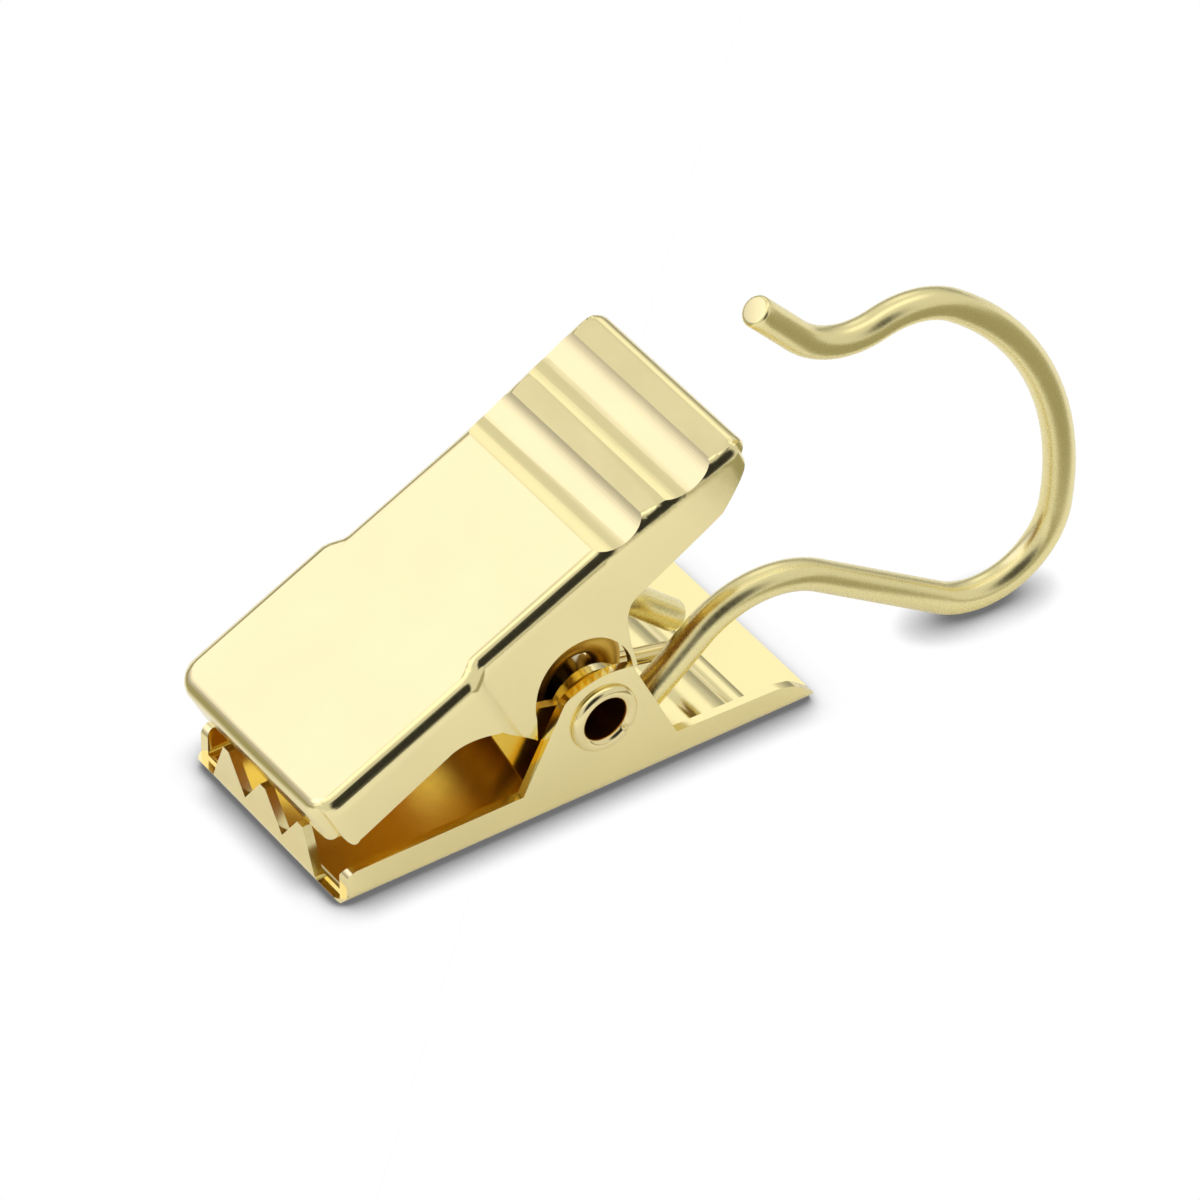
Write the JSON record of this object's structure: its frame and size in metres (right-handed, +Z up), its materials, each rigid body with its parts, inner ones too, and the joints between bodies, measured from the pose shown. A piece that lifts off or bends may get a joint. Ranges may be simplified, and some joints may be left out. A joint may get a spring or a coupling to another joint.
{
  "type": "curtain hook clip",
  "caption": "Small sprung curtain clip in polished brass finish: two pressed jaws on a hollow rivet, with a bent wire hook for a rail or ring.",
  "frame": {"origin": "on the surface the clip lies on, under the rivet's axis, at the middle of the clip's width", "axes": "+X from the jaws' mouth towards the thumb plate and the hook, +Y across the clip along the rivet, +Z up from the lower jaw"},
  "size_m": [0.0408, 0.0126, 0.0224],
  "materials": {
    "jaw_sheet_lower": "polished",
    "jaw_sheet_upper": "polished",
    "rivet_brass": "polished",
    "spring_wire": "polished",
    "hook_brass_wire": "satin"
  },
  "bodies": {
    "base": {"lower_jaw": "jaw_sheet_lower", "pivot_rivet": "rivet_brass", "torsion_spring": "spring_wire"},
    "upper": {"upper_jaw": "jaw_sheet_upper"},
    "hook": {"hook_wire": "hook_brass_wire"}
  },
  "joints": [
    {"name": "jaw_hinge", "type": "hinge", "parent": "base", "child": "upper", "pos_m": [0.00025, 0, 0.0045], "axis": [0, 1, 0], "range_deg": [0, 25], "stiffness_Nm_per_rad": 0.05, "springref_deg": -57.3, "deforming": ["torsion_spring"]},
    {"name": "hook_swing", "type": "hinge", "parent": "base", "child": "hook", "pos_m": [0.00025, 0, 0.0045], "axis": [0, 1, 0], "range_deg": [-18, 5]}
  ]
}
